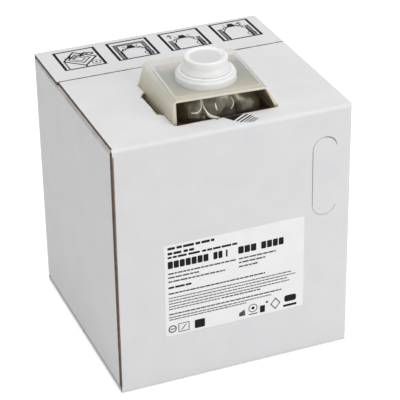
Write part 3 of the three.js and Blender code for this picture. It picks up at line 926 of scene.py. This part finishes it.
def make_top_print():
    ink, fine = Print(on_top), Print(on_top)
    for left, drawing in zip(FRAME_LEFTS, (None,) + LATER_DRAWINGS):
        ink.place = fine.place = frame_place(left)
        draw_frame(ink)
        if drawing:
            section_box(ink, *drawing)
        else:
            closed_box_step(ink, fine)
        step_mark(ink)
    ink.make("top_print", INK, "print_ink")
    fine.make("top_print_fine", GREY_INK, "print_ink")


SOLID_PATCH = [(-2.8, -87.3), (-1.2, -89.9), (3.7, -97.8), (6.2, -95.9), (17.0, -88.3), (15.9, -87.3)]
STRIPES = (
    ((6.2, -99.2), (19.0, -91.0), 1.7),
    ((8.6, -101.9), (21.2, -93.8), 1.6),
    ((11.4, -103.3), (22.4, -95.9), 1.0),
    ((13.4, -104.9), (22.9, -98.5), 0.9),
    ((15.6, -105.6), (24.0, -99.9), 0.8),
    ((18.2, -105.9), (25.1, -101.3), 0.8),
)


def make_stripes():
    """A plain patch of print that runs from the hatch's front edge and ends in stripes."""
    ink = Print(on_top)
    ink.polygon(SOLID_PATCH)
    for start, end, width in STRIPES:
        ink.line(start, end, width)
    ink.line((-8.8, -89.3), (-5.2, -87.4), 0.9)
    ink.make("top_stripes", INK, "print_ink")


# Torn paper at the hatch, and brown lines with painted shadow at the flaps' seam and the front left corner

TORN_EDGE = ((-48, 3), (-48, -14.3), (-53.5, -21.6), (-53.6, -40), (-53.4, -59.4), (-50.5, -61.6),
             (-48.1, -64), (-48.2, -76), (-47.8, -86.6), (-45, -88.2), (-34, -88.1), (-22, -87.8),
             (-11, -88.1))
FRONT_EDGE = ((-10, -88.0), (6, -88.1), (24, -88.0), (40, -88.1), (50.6, -88.0))
TOP_SEAM = 38.5
NOTCH_SCRAP = ((-48.6, -15.4), (-50.2, -15.6), (-53.8, -21.0), (-54.6, -23.4), (-52.6, -22.4))


def ribbon(points, width, rise, spread):
    """Points and faces of a thin, uneven strip of paper along a path on the top."""
    piece_length, waviness, sink = 1.6, 0.35, -0.05
    path = []
    for start, end in zip(points, points[1:]):
        a, b = Vector(start), Vector(end)
        pieces = max(1, round((b - a).length / piece_length))
        path += [a + (b - a) * i / pieces for i in range(pieces)]
    path.append(Vector(points[-1]))
    sections = []
    last = len(path) - 1
    for i, here in enumerate(path):
        run = (path[min(i + 1, last)] - path[max(i - 1, 0)]).normalized()
        side = Vector((run.y, -run.x))
        reach = width * (1 + spread * noise.noise(Vector((here.x * waviness, here.y * waviness, 4.0))))
        spots = [(here + side * reach * share, z)
                 for share, z in ((-0.5, sink), (0.5, sink), (0.5, rise), (-0.5, rise))]
        sections.append([(spot.x, spot.y, TOP + z) for spot, z in spots])
    return tube(sections)


def corner_edge_shade():
    """The front liner's brown end at the left corner, with painted gap shadow, wider towards the top."""
    strip = Print(on_front)
    rows, start, pitch = 24, 8, 9.8
    for i in range(rows):
        low, high = (start + i * pitch, start + (i + 1) * pitch)
        low_reach, high_reach = (0.25 + 0.9 * (z / TOP) + 0.15 * noise.noise(Vector((z * 0.2, 2, 2)))
                                 for z in (low, high))
        left = -HALF_W + 0.02
        strip.polygon([(left, low), (left + low_reach, low), (left + high_reach, high), (left, high)])
    return strip.verts, strip.faces


def make_torn_edges():
    scrap = Print(on_top)
    scrap.RISE = 0.5
    scrap.polygon(NOTCH_SCRAP)
    for name, mesh, material in (
        ("torn_edge", ribbon(TORN_EDGE, 0.8, 0.12, 0.9), TORN_PAPER),
        ("torn_front_edge", ribbon(FRONT_EDGE, 0.55, 0.1, 0.9), KRAFT_LINER),
        ("torn_scrap", (scrap.verts, scrap.faces), KRAFT_EDGE),
        # The seam's gap: a brown strip of painted shadow, brown where its cut edges show
        ("top_seam_shadow", ribbon(((-111.2, TOP_SEAM), (HALF_W - 0.4, TOP_SEAM)), 1.5, 0.05, 0.5), SEAM_SHADOW),
        ("front_cut_edge", corner_edge_shade(), CORNER_EDGE_SHADE),
    ):
        settle(make_object(name, *mesh, [material]), "container")


# Bracket

def bracket_section():
    """Outline of the bent strip about its own middle, with soft folds."""
    outer, inner = BRACKET_FOLD, BRACKET_INNER_FOLD
    leg_end = TOP - BRACKET_LEG_DEPTH
    leg_rows = 8

    def arc(cx, cz, radius, start, end, steps):
        angles = [start + (end - start) * k / steps for k in range(steps + 1)]
        return [(cx + radius * math.cos(a), cz + radius * math.sin(a)) for a in angles]

    def leg(start_x, end_x, start_z):
        steps = range(1, leg_rows + 1)
        return [(start_x + (end_x - start_x) * k / leg_rows, start_z + (TOP - start_z) * k / leg_rows)
                for k in steps]

    quarter = math.pi / 2
    right = arc(BRACKET_TOP_HALF - outer, PLATE_TOP - outer, outer, quarter, 0, 10)
    right += leg(BRACKET_TOP_HALF, BRACKET_BASE_HALF, PLATE_TOP - outer)
    right += [(BRACKET_BASE_HALF, leg_end), (BRACKET_BASE_HALF - LEG_T, leg_end)]
    inside_top, inside_base = BRACKET_TOP_HALF - LEG_T, BRACKET_BASE_HALF - LEG_T
    right += reversed(leg(inside_top, inside_base, PLATE_BOTTOM - inner))
    right += arc(inside_top - inner, PLATE_BOTTOM - inner, inner, 0, quarter, 4)
    left = [(-x, z) for x, z in reversed(right)]
    return right + left


def bracket_place(x, y, z):
    """From the bent strip's own place to the carton: the legs stay square, and the plate is turned."""
    share = min(1.0, max(0.0, (z - TOP) / (PLATE_BOTTOM - TOP)))
    angle = BRACKET_TURN * share
    middle = HATCH_MIDDLE_X + (BRACKET_MIDDLE_X - HATCH_MIDDLE_X) * share
    return Vector((
        middle + x * math.cos(angle) - y * math.sin(angle),
        SPOUT_AXIS.y + x * math.sin(angle) + y * math.cos(angle),
        z,
    ))


# One plastic, in copies with painted light and shade for each part of the strip
SUNKEN_PANEL, LEG_SIDE, RIM, BRACKET_CUT, LEG_INSIDE = range(5)


def make_bracket():
    """The bent strip, with the spout's hole and the sunken panel cut out of its plate."""
    section = bracket_section()
    rows = 24
    depth = BRACKET_FRONT + BRACKET_REAR
    sections = [[bracket_place(x, depth * j / rows - BRACKET_FRONT, z) for x, z in section]
                for j in range(rows + 1)]
    materials = [BRACKET_PLATE, BRACKET_LEG, BRACKET_RIM, BRACKET_EDGE_HIGHLIGHT, BRACKET_INSIDE_SHADE]
    obj = make_object("spout_bracket_sheet", *tube(sections), materials)
    reach = 3 * PLATE_T
    hole = [(0, -reach), (PLATE_HOLE, -reach), (PLATE_HOLE, reach), (0, reach)]
    cut_away(obj, *lathe(hole, 96, SPOUT_CENTRE))
    cut_away(obj, *recess_block())
    soften = obj.modifiers.new("soft_edges", "BEVEL")
    soften.width = BRACKET_SOFT_EDGE * MM
    soften.segments = 2
    soften.limit_method = "ANGLE"
    soften.angle_limit = math.radians(50)
    apply_modifiers(obj)
    for polygon in obj.data.polygons:
        polygon.material_index = bracket_slot(polygon)
        polygon.use_smooth = True
    settle(obj, "container", "spout_bracket")


def recess_block():
    """The room above the plate's sunken panel, as points and faces."""
    corners = [(-RECESS_HALF, -RECESS_FRONT), (RECESS_HALF, -RECESS_FRONT),
               (RECESS_HALF, RECESS_REAR), (-RECESS_HALF, RECESS_REAR)]
    outline = round_corners(corners, RECESS_CORNER, 6, turned=False)
    count = len(outline)
    heights = (PLATE_TOP - PLATE_RECESS, PLATE_TOP + 2)
    verts = [bracket_place(p.x, p.y, z) for z in heights for p in outline]
    faces = [list(reversed(range(count))), [count + i for i in range(count)]]
    faces += [[i, (i + 1) % count, count + (i + 1) % count, count + i] for i in range(count)]
    return verts, faces


def cut_away(obj, verts, faces):
    cutter = make_object("cutter", verts, faces, [BRACKET_PLATE])
    cut = obj.modifiers.new("cut", "BOOLEAN")
    cut.operation = "DIFFERENCE"
    cut.solver = "EXACT"
    cut.object = cutter
    apply_modifiers(obj)
    bpy.data.objects.remove(cutter)


def bracket_slot(polygon):
    """Which of the bracket's materials a face has."""
    height = polygon.center.z / MM
    outward = math.copysign(1, polygon.center.x - BRACKET_MIDDLE_X * MM)
    if height < PLATE_BOTTOM and polygon.normal.x * outward < -0.5:
        return LEG_INSIDE
    if abs(polygon.normal.y) > 0.6 and height < PLATE_TOP - 0.1:
        return BRACKET_CUT
    if polygon.normal.z > 0.35:
        in_panel = PLATE_TOP - PLATE_RECESS - 0.1 < height < PLATE_TOP - PLATE_RECESS / 2
        return SUNKEN_PANEL if in_panel else RIM
    return LEG_SIDE if height < PLATE_BOTTOM else RIM


# Spout, cap and seal, turned about the spout's axis

def make_turned(name, profile, ridges, material, sharp_angle):
    """A piece turned from its profile, with the ridges of its thread."""
    body = lathe([tuple(p) for p in profile], ROUND, SPOUT_CENTRE)
    return make_object(name, *joined(body, *ridges), [material], sharp_angle=sharp_angle)


def make_spout():
    neck_top = SPOUT_HIGH.z - PLATE_TOP
    foot_bottom = SPOUT_LOW.z - PLATE_TOP
    under = -PLATE_T - FIT
    seat = PANEL_CLEARANCE - PLATE_RECESS
    wall = COLLAR - 0.15
    corners = [
        (BORE, foot_bottom), (FOOT, foot_bottom), (FOOT, under), (BARREL, under), (BARREL, seat),
        (COLLAR + COLLAR_FOOT, seat), (COLLAR, seat + 0.35), (wall, seat + 1.4), (wall, COLLAR_TOP - 3.4),
        (COLLAR - 1.9, COLLAR_TOP - 2.0), (COLLAR - 2.2, COLLAR_TOP), (NECK + 1.6, COLLAR_TOP),
        (NECK, COLLAR_TOP + 0.9), (NECK, neck_top), (BORE, neck_top),
    ]
    radii = [0.4, 0.7, 0.5, 0.2, 0.1, 0.0, 0.2, 0.4, 0.9, 0.7, 0.7, 0.5, 0.5, 0.6, 0.5]
    ridge = thread_ridge(NECK, 1, THREAD_START, 1.1)
    obj = make_turned("spout_body", round_corners(corners, radii), [ridge], SPOUT_MATERIAL, 50)
    settle(obj, "container", "spout")


def make_cap():
    bottom = COLLAR_TOP + CAP_CLEARANCE
    top = CAP_TOP - PLATE_TOP
    dish = top - DISH_DEPTH
    ceiling = dish - CAP_CEILING
    flare_steps = 10
    flare = []
    for k in range(flare_steps + 1):
        t = k / flare_steps
        radius = CAP_OUTER + (CAP_SKIRT - CAP_OUTER) * (1 - t) ** FLARE_POWER
        flare.append((radius, bottom + SKIRT_HEIGHT + FLARE_HEIGHT * t))
    low_corners = [
        (0, ceiling), (CAP_INNER, ceiling), (CAP_INNER, bottom + 0.1), (CAP_OUTER, bottom + 0.1),
        (CAP_OUTER, bottom + 2.2), (CAP_SKIRT - SKIRT_WALL, bottom + 2.2), (CAP_SKIRT - SKIRT_WALL, bottom),
        (CAP_SKIRT, bottom),
    ]
    high_corners = [
        (CAP_OUTER - 0.3, top), (DISH + 0.8, top), (DISH - 0.8, top - 0.9), (DISH - 3.5, dish + 0.25),
        (DISH - 8, dish), (1.3, dish), (0.9, dish + 0.25), (0, dish + 0.25),
    ]
    radii = [0, 0.4, 0.3, 0.3, 0.3, 0.3, 0.2, 0.4] + [0.0] * len(flare)
    radii += [CAP_SHOULDER, 0.7, 0.8, 1.5, 2.0, 0.2, 0.2, 0]
    ridge = thread_ridge(CAP_INNER, -1, THREAD_START + PITCH / 2, 0.75)
    profile = round_corners(low_corners + flare + high_corners, radii, 6)
    obj = make_turned("screw_cap", profile, [ridge], CAP_MATERIAL, 50)
    settle(obj, "cap", "cap")


def make_seal():
    low = SEAL_LOW.z - PLATE_TOP
    high = SEAL_HIGH.z - PLATE_TOP
    radius = (SEAL_HIGH.x - SEAL_LOW.x) / 2
    corners = [(0, low), (radius, low), (radius, high), (0, high)]
    obj = make_turned("seal_disc", round_corners(corners, 0.3), [], FOAM, 35)
    settle(obj, "cap_seal", "cap_seal")


# Film bag

# Lobes of the film at the front: the middle and the half width of each
FILM_LOBES = ((-46.0, 6.0), (-31.0, 13.0), (-3.8, 14.5), (24.5, 15.0), (43.5, 6.0))
LOBE_DEPTH = 5.0
LOBE_SETBACK = 3.0
LOBE_LEAN = 3.0


def bag_angles():
    """Directions round the bag, closer together at the front, where the film shows."""
    front = int(BAG_SEGMENTS * NECK_FRONT_SHARE)
    rest = BAG_SEGMENTS - front
    start, end = math.radians(-155), math.radians(-25)
    angles = [start + (end - start) * i / front for i in range(front)]
    angles += [end + (2 * math.pi - (end - start)) * i / rest for i in range(rest)]
    return angles


def film_front(x, z):
    """How far the film at the front stands out of its base surface: a row of leaning lobes."""
    height = (z - (TOP - BOARD)) / (PLATE_BOTTOM - TOP + BOARD)
    height = min(1.0, max(0.0, height))
    lean = LOBE_LEAN * (1 - height) ** 1.6
    out = 0.0
    for lobe, reach in FILM_LOBES:
        out = max(out, 1 - ((x - lobe - lean) / reach) ** 2)
    return LOBE_DEPTH * math.sqrt(max(0.0, out)) - LOBE_SETBACK


def film_wrinkle(p):
    low = noise.noise(Vector((p.x * 0.06, p.y * 0.06, p.z * 0.1)))
    ridge = 1 - abs(noise.noise(Vector((p.x * 0.13 + 7, p.y * 0.13, p.z * 0.06))))
    return 0.7 * low + 0.45 * (ridge ** 4 - 0.5)


def bag_rings():
    """The bag's level sections, from its base up to the spout and down the bore.

    Each has a middle, two half sizes, a power that squares its corners, a height, and the share of the
    film's folds that shows there.
    """
    mid_y, half_y = (BAG_LOW.y + BAG_HIGH.y) / 2, (BAG_HIGH.y - BAG_LOW.y) / 2
    half_x = BAG_HIGH.x
    low, high = BAG_LOW.z, TOP - 2 * BOARD - FIT
    neck_x = (HATCH_RIGHT - HATCH_LEFT) / 2 - LEG_T - BAG_NECK_GAP
    neck_y = (HATCH_REAR - HATCH_FRONT) / 2 - BAG_NECK_GAP

    def body(inset, z):
        return (0.0, mid_y, half_x - inset, half_y - inset, BAG_POWER, z, 0.0)

    def neck(share, inset, z, fold=0.0):
        """share goes from 0, square in the hatch, to 1, round under the spout."""
        x = HATCH_MIDDLE_X + (SPOUT_AXIS.x - HATCH_MIDDLE_X) * share
        y = HATCH_MIDDLE_Y + (SPOUT_AXIS.y - HATCH_MIDDLE_Y) * share
        return (x, y, neck_x - inset, neck_y - inset, BAG_NECK_POWER - 2.0 * share, z, fold)

    def round_ring(radius, z):
        return (SPOUT_AXIS.x, SPOUT_AXIS.y, radius, radius, 2.0, z, 0.0)

    turns = [math.pi / 2 * k / 8 for k in range(9)]
    rings = [body(half_x * (1 - share), low) for share in (0.3, 0.6, 0.8)]
    edges = [(BAG_EDGE * (1 - math.cos(a)), BAG_EDGE * (1 - math.sin(a))) for a in turns]
    rings += [body(inset, low + rise) for inset, rise in reversed(edges)]
    rings += [body(0, low + BAG_EDGE + (high - low - 2 * BAG_EDGE) * k / 12) for k in range(1, 12)]
    rings += [body(inset, high - rise) for inset, rise in edges]

    shoulder, collar = body(BAG_EDGE, high), neck(0, -9, high)
    rings += [tuple(a + (b - a) * t for a, b in zip(shoulder, collar)) for t in (0.25, 0.5, 0.75)]
    rings += [neck(0, inset, high + lift) for inset, lift in ((-9, 0), (-5, 0.1), (-2, 0.6))]
    start, end = high + 1.5, PLATE_BOTTOM - 0.5
    steps = 34
    for t in (k / steps for k in range(steps + 1)):
        fold = math.sin(math.pi * min(1, 0.12 + 0.75 * t)) ** 0.5
        rings.append(neck(smoothstep(0.3, 1.0, t), 0.5 + 6.5 * t ** 1.7, start + (end - start) * t, fold))

    weld = SPOUT_LOW.z - FIT
    rim = FOOT + 2 * FIT
    rings += [round_ring(rim + 1.2, end), round_ring(rim, end - 0.6), round_ring(rim, weld + 0.5)]
    rings += [round_ring(radius, weld) for radius in (rim - 0.5, BORE + 3, BORE + 0.3)]
    rings += [round_ring(BORE, z) for z in (weld - 0.5, weld - 8, BAG_WELL_BOTTOM)]
    return rings


def ring_point(ring, angle):
    x, y, half_x, half_y, power, z, fold = ring
    c, s = math.cos(angle), math.sin(angle)
    reach = (abs(c / half_x) ** power + abs(s / half_y) ** power) ** (-1 / power)
    point = Vector((x + reach * c, y + reach * s, z))
    if fold > 0:
        facing = max(0.0, -s) ** 0.7
        out = film_front(point.x, point.z) * facing + film_wrinkle(point)
        point.x += c * out * fold * 0.35
        point.y += s * out * fold
        point.y = max(point.y, HATCH_FRONT + 0.8)
    return point


def make_bag():
    """The film bag: a skin over its rings, closed at the base and at the bottom of the bore."""
    angles = bag_angles()
    rings = bag_rings()
    n = len(angles)
    verts = [(0, rings[0][1], BAG_LOW.z)]
    verts += [ring_point(ring, angle) for ring in rings for angle in angles]
    verts.append((SPOUT_AXIS.x, SPOUT_AXIS.y, BAG_WELL_BOTTOM))
    last = len(verts) - 1
    faces = []
    for i in range(n):
        k = (i + 1) % n
        faces.append([0, 1 + k, 1 + i])
        faces.append([last, last - n + i, last - n + k])
        for ring in range(len(rings) - 1):
            a, b = 1 + ring * n, 1 + (ring + 1) * n
            faces.append([a + i, a + k, b + k, b + i])
    obj = make_object("film_bag", verts, faces, [FILM], sharp_angle=70)
    return settle(obj, "container", "liquid_bag")


# Painted highlights on the film's front folds: points of (x, z, width) from the top down, and each fold's
# rise
FOLD_HIGHLIGHT_PATHS = (
    (((-18.5, 266.4, 0.7), (-17.6, 259.5, 1.3), (-14.9, 253.1, 2.2), (-12.1, 249.6, 3.4),
      (-4.6, 246.2, 3.8)), 1.0),
    (((-19.4, 266.5, 0.4), (-20.0, 259.0, 0.9), (-23.3, 254.8, 1.6), (-28.9, 254.5, 0.9)), 0.7),
    (((6.9, 265.2, 0.4), (9.8, 259.9, 1.2), (9.7, 256.0, 1.1), (6.9, 253.6, 0.5)), 0.6),
    (((-8.3, 262.6, 0.4), (-7.2, 258.0, 1.5), (-6.2, 255.0, 0.6)), 0.35),
)
FILM_SHADE = ((-20.6, 254.0, 1.0), (-20.0, 251.5, 5.0), (-19.0, 249.0, 8.5), (-18.0, 246.0, 11.0))


def smooth_path(points, steps=7):
    """A curve through the points, each a tuple of numbers."""
    path = []
    last = len(points) - 1
    for i in range(last):
        near = (points[max(0, i - 1)], points[i], points[i + 1], points[min(last, i + 2)])
        for k in range(steps):
            t = k / steps
            path.append([
                0.5 * (2 * b + (c - a) * t + (2 * a - 5 * b + 4 * c - d) * t * t
                       + (3 * b - a - 3 * c + d) * t ** 3)
                for a, b, c, d in zip(*near)
            ])
    return path + [list(points[last])]


def laid_on_film(tree, x, z, lift):
    hit = tree.ray_cast(Vector((x, HATCH_FRONT - 30, z)) * MM, Vector((0, 1, 0)))[0]
    y = hit.y / MM if hit else HATCH_FRONT + 5
    return Vector((x, y - lift, z))


def film_strip(tree, points, rise, base=0.12):
    """Points and faces of a tapered ridge that lies on the film along a path."""
    path = smooth_path(points)
    sections = []
    across = (-0.5, -0.3, 0.0, 0.3, 0.5)
    for i, (x, z, width) in enumerate(path):
        ahead, behind = path[min(i + 1, len(path) - 1)], path[max(i - 1, 0)]
        run = Vector((ahead[0] - behind[0], ahead[1] - behind[1])).normalized()
        side = Vector((run.y, -run.x)) * width
        lifts = [(share, base + rise * math.cos(math.pi * share) * min(1.0, width)) for share in across]
        lifts += [(share, -0.3) for share in reversed(across)]
        sections.append([laid_on_film(tree, x + side.x * share, z + side.y * share, lift)
                         for share, lift in lifts])
    return tube(sections)


def make_fold_highlights(bag):
    polygons = [list(p.vertices) for p in bag.data.polygons]
    tree = BVHTree.FromPolygons([v.co for v in bag.data.vertices], polygons)
    folds = joined(*[film_strip(tree, points, rise) for points, rise in FOLD_HIGHLIGHT_PATHS])
    shade = film_strip(tree, FILM_SHADE, 0.0, 0.06)
    for name, mesh, material in (
        ("fold_highlights", folds, FOLD_HIGHLIGHT_FILM),
        ("film_shade", shade, SHADED_FILM),
    ):
        obj = make_object(name, *mesh, [material], sharp_angle=60)
        settle(obj, "container")


# Stage, light and camera

FLOOR_HALF = 30000.0


def make_floor():
    """A pale floor that glows more from half a metre out, so that its far part is white to the camera."""
    surface = Surface("studio_floor", (0.93, 0.93, 0.93), 0.8, Emission_Color=(1, 1, 1, 1))
    surface.tint(surface.noise(1.5), (0.92, 0.92, 0.92), (0.94, 0.94, 0.94))
    rays = surface.nodes.new("ShaderNodeLightPath").outputs
    seen = surface.math("ADD", rays["Is Camera Ray"], rays["Is Transmission Ray"], use_clamp=True)
    distance = surface.vector_math("LENGTH", "Value", surface.place)
    glow = surface.spread(distance, 0.42, 1.3, 0.5, 1.4)
    surface.feed("Emission Strength", surface.math("MULTIPLY", seen, glow))
    corners = [(-FLOOR_HALF, -FLOOR_HALF, 0), (FLOOR_HALF, -FLOOR_HALF, 0),
               (FLOOR_HALF, FLOOR_HALF, 0), (-FLOOR_HALF, FLOOR_HALF, 0)]
    make_object("floor", corners, [[0, 1, 2, 3]], [surface.material], smooth=False)


def make_world():
    world = bpy.data.worlds.new("studio")
    bpy.context.scene.world = world
    world.use_nodes = True
    nodes, links = world.node_tree.nodes, world.node_tree.links
    background = nodes["Background"]
    background.inputs["Color"].default_value = (1, 1, 1, 1)
    path = nodes.new("ShaderNodeLightPath")
    spread = nodes.new("ShaderNodeMapRange")
    spread.inputs["To Min"].default_value = 0.42
    spread.inputs["To Max"].default_value = 1.0
    links.new(path.outputs["Is Camera Ray"], spread.inputs["Value"])
    links.new(spread.outputs["Result"], background.inputs["Strength"])


def add_light(name, place, aim, width, height, power):
    data = bpy.data.lights.new(name, "AREA")
    data.shape = "RECTANGLE"
    data.size = width
    data.size_y = height
    data.energy = power
    light = bpy.data.objects.new(name, data)
    light.location = place
    light.rotation_euler = (Vector(aim) - Vector(place)).to_track_quat("-Z", "Y").to_euler()
    bpy.context.scene.collection.objects.link(light)


def make_lights():
    aim = (0, 0, 0.15)
    add_light("overhead_softbox", (0.15, -0.1, 1.9), aim, 1.6, 1.6, 17.4)
    add_light("front_softbox", (1.1, -1.9, 0.9), aim, 1.4, 1.2, 15.2)
    add_light("left_fill", (-2.0, -0.4, 0.8), aim, 1.2, 1.0, 5.1)


def make_camera():
    az, drop, roll = CAMERA_AZIMUTH, CAMERA_DROP, CAMERA_ROLL
    forward = Vector((math.sin(az) * math.cos(drop), math.cos(az) * math.cos(drop), -math.sin(drop)))
    level_right = Vector((math.cos(az), -math.sin(az), 0))
    level_up = level_right.cross(forward)
    right = level_right * math.cos(roll) + level_up * math.sin(roll)
    up = level_up * math.cos(roll) - level_right * math.sin(roll)
    data = bpy.data.cameras.new("photo_camera")
    data.sensor_width = SENSOR_MM
    data.lens = FOCAL_PIXELS / PHOTO_PIXELS * SENSOR_MM
    data.clip_end = 100
    camera = bpy.data.objects.new("photo_camera", data)
    turn = Matrix((right, up, -forward)).transposed()
    camera.matrix_world = Matrix.Translation(CAMERA_PLACE * MM) @ turn.to_4x4()
    bpy.context.scene.collection.objects.link(camera)
    bpy.context.scene.camera = camera


make_camera()
make_world()
make_lights()
make_floor()
make_carton()
make_label()
make_label_print()
make_hand_hole_line()
make_top_print()
make_stripes()
make_torn_edges()
make_fold_highlights(make_bag())
make_bracket()
make_spout()
make_cap()
make_seal()

bpy.context.scene.view_settings.view_transform = "Standard"
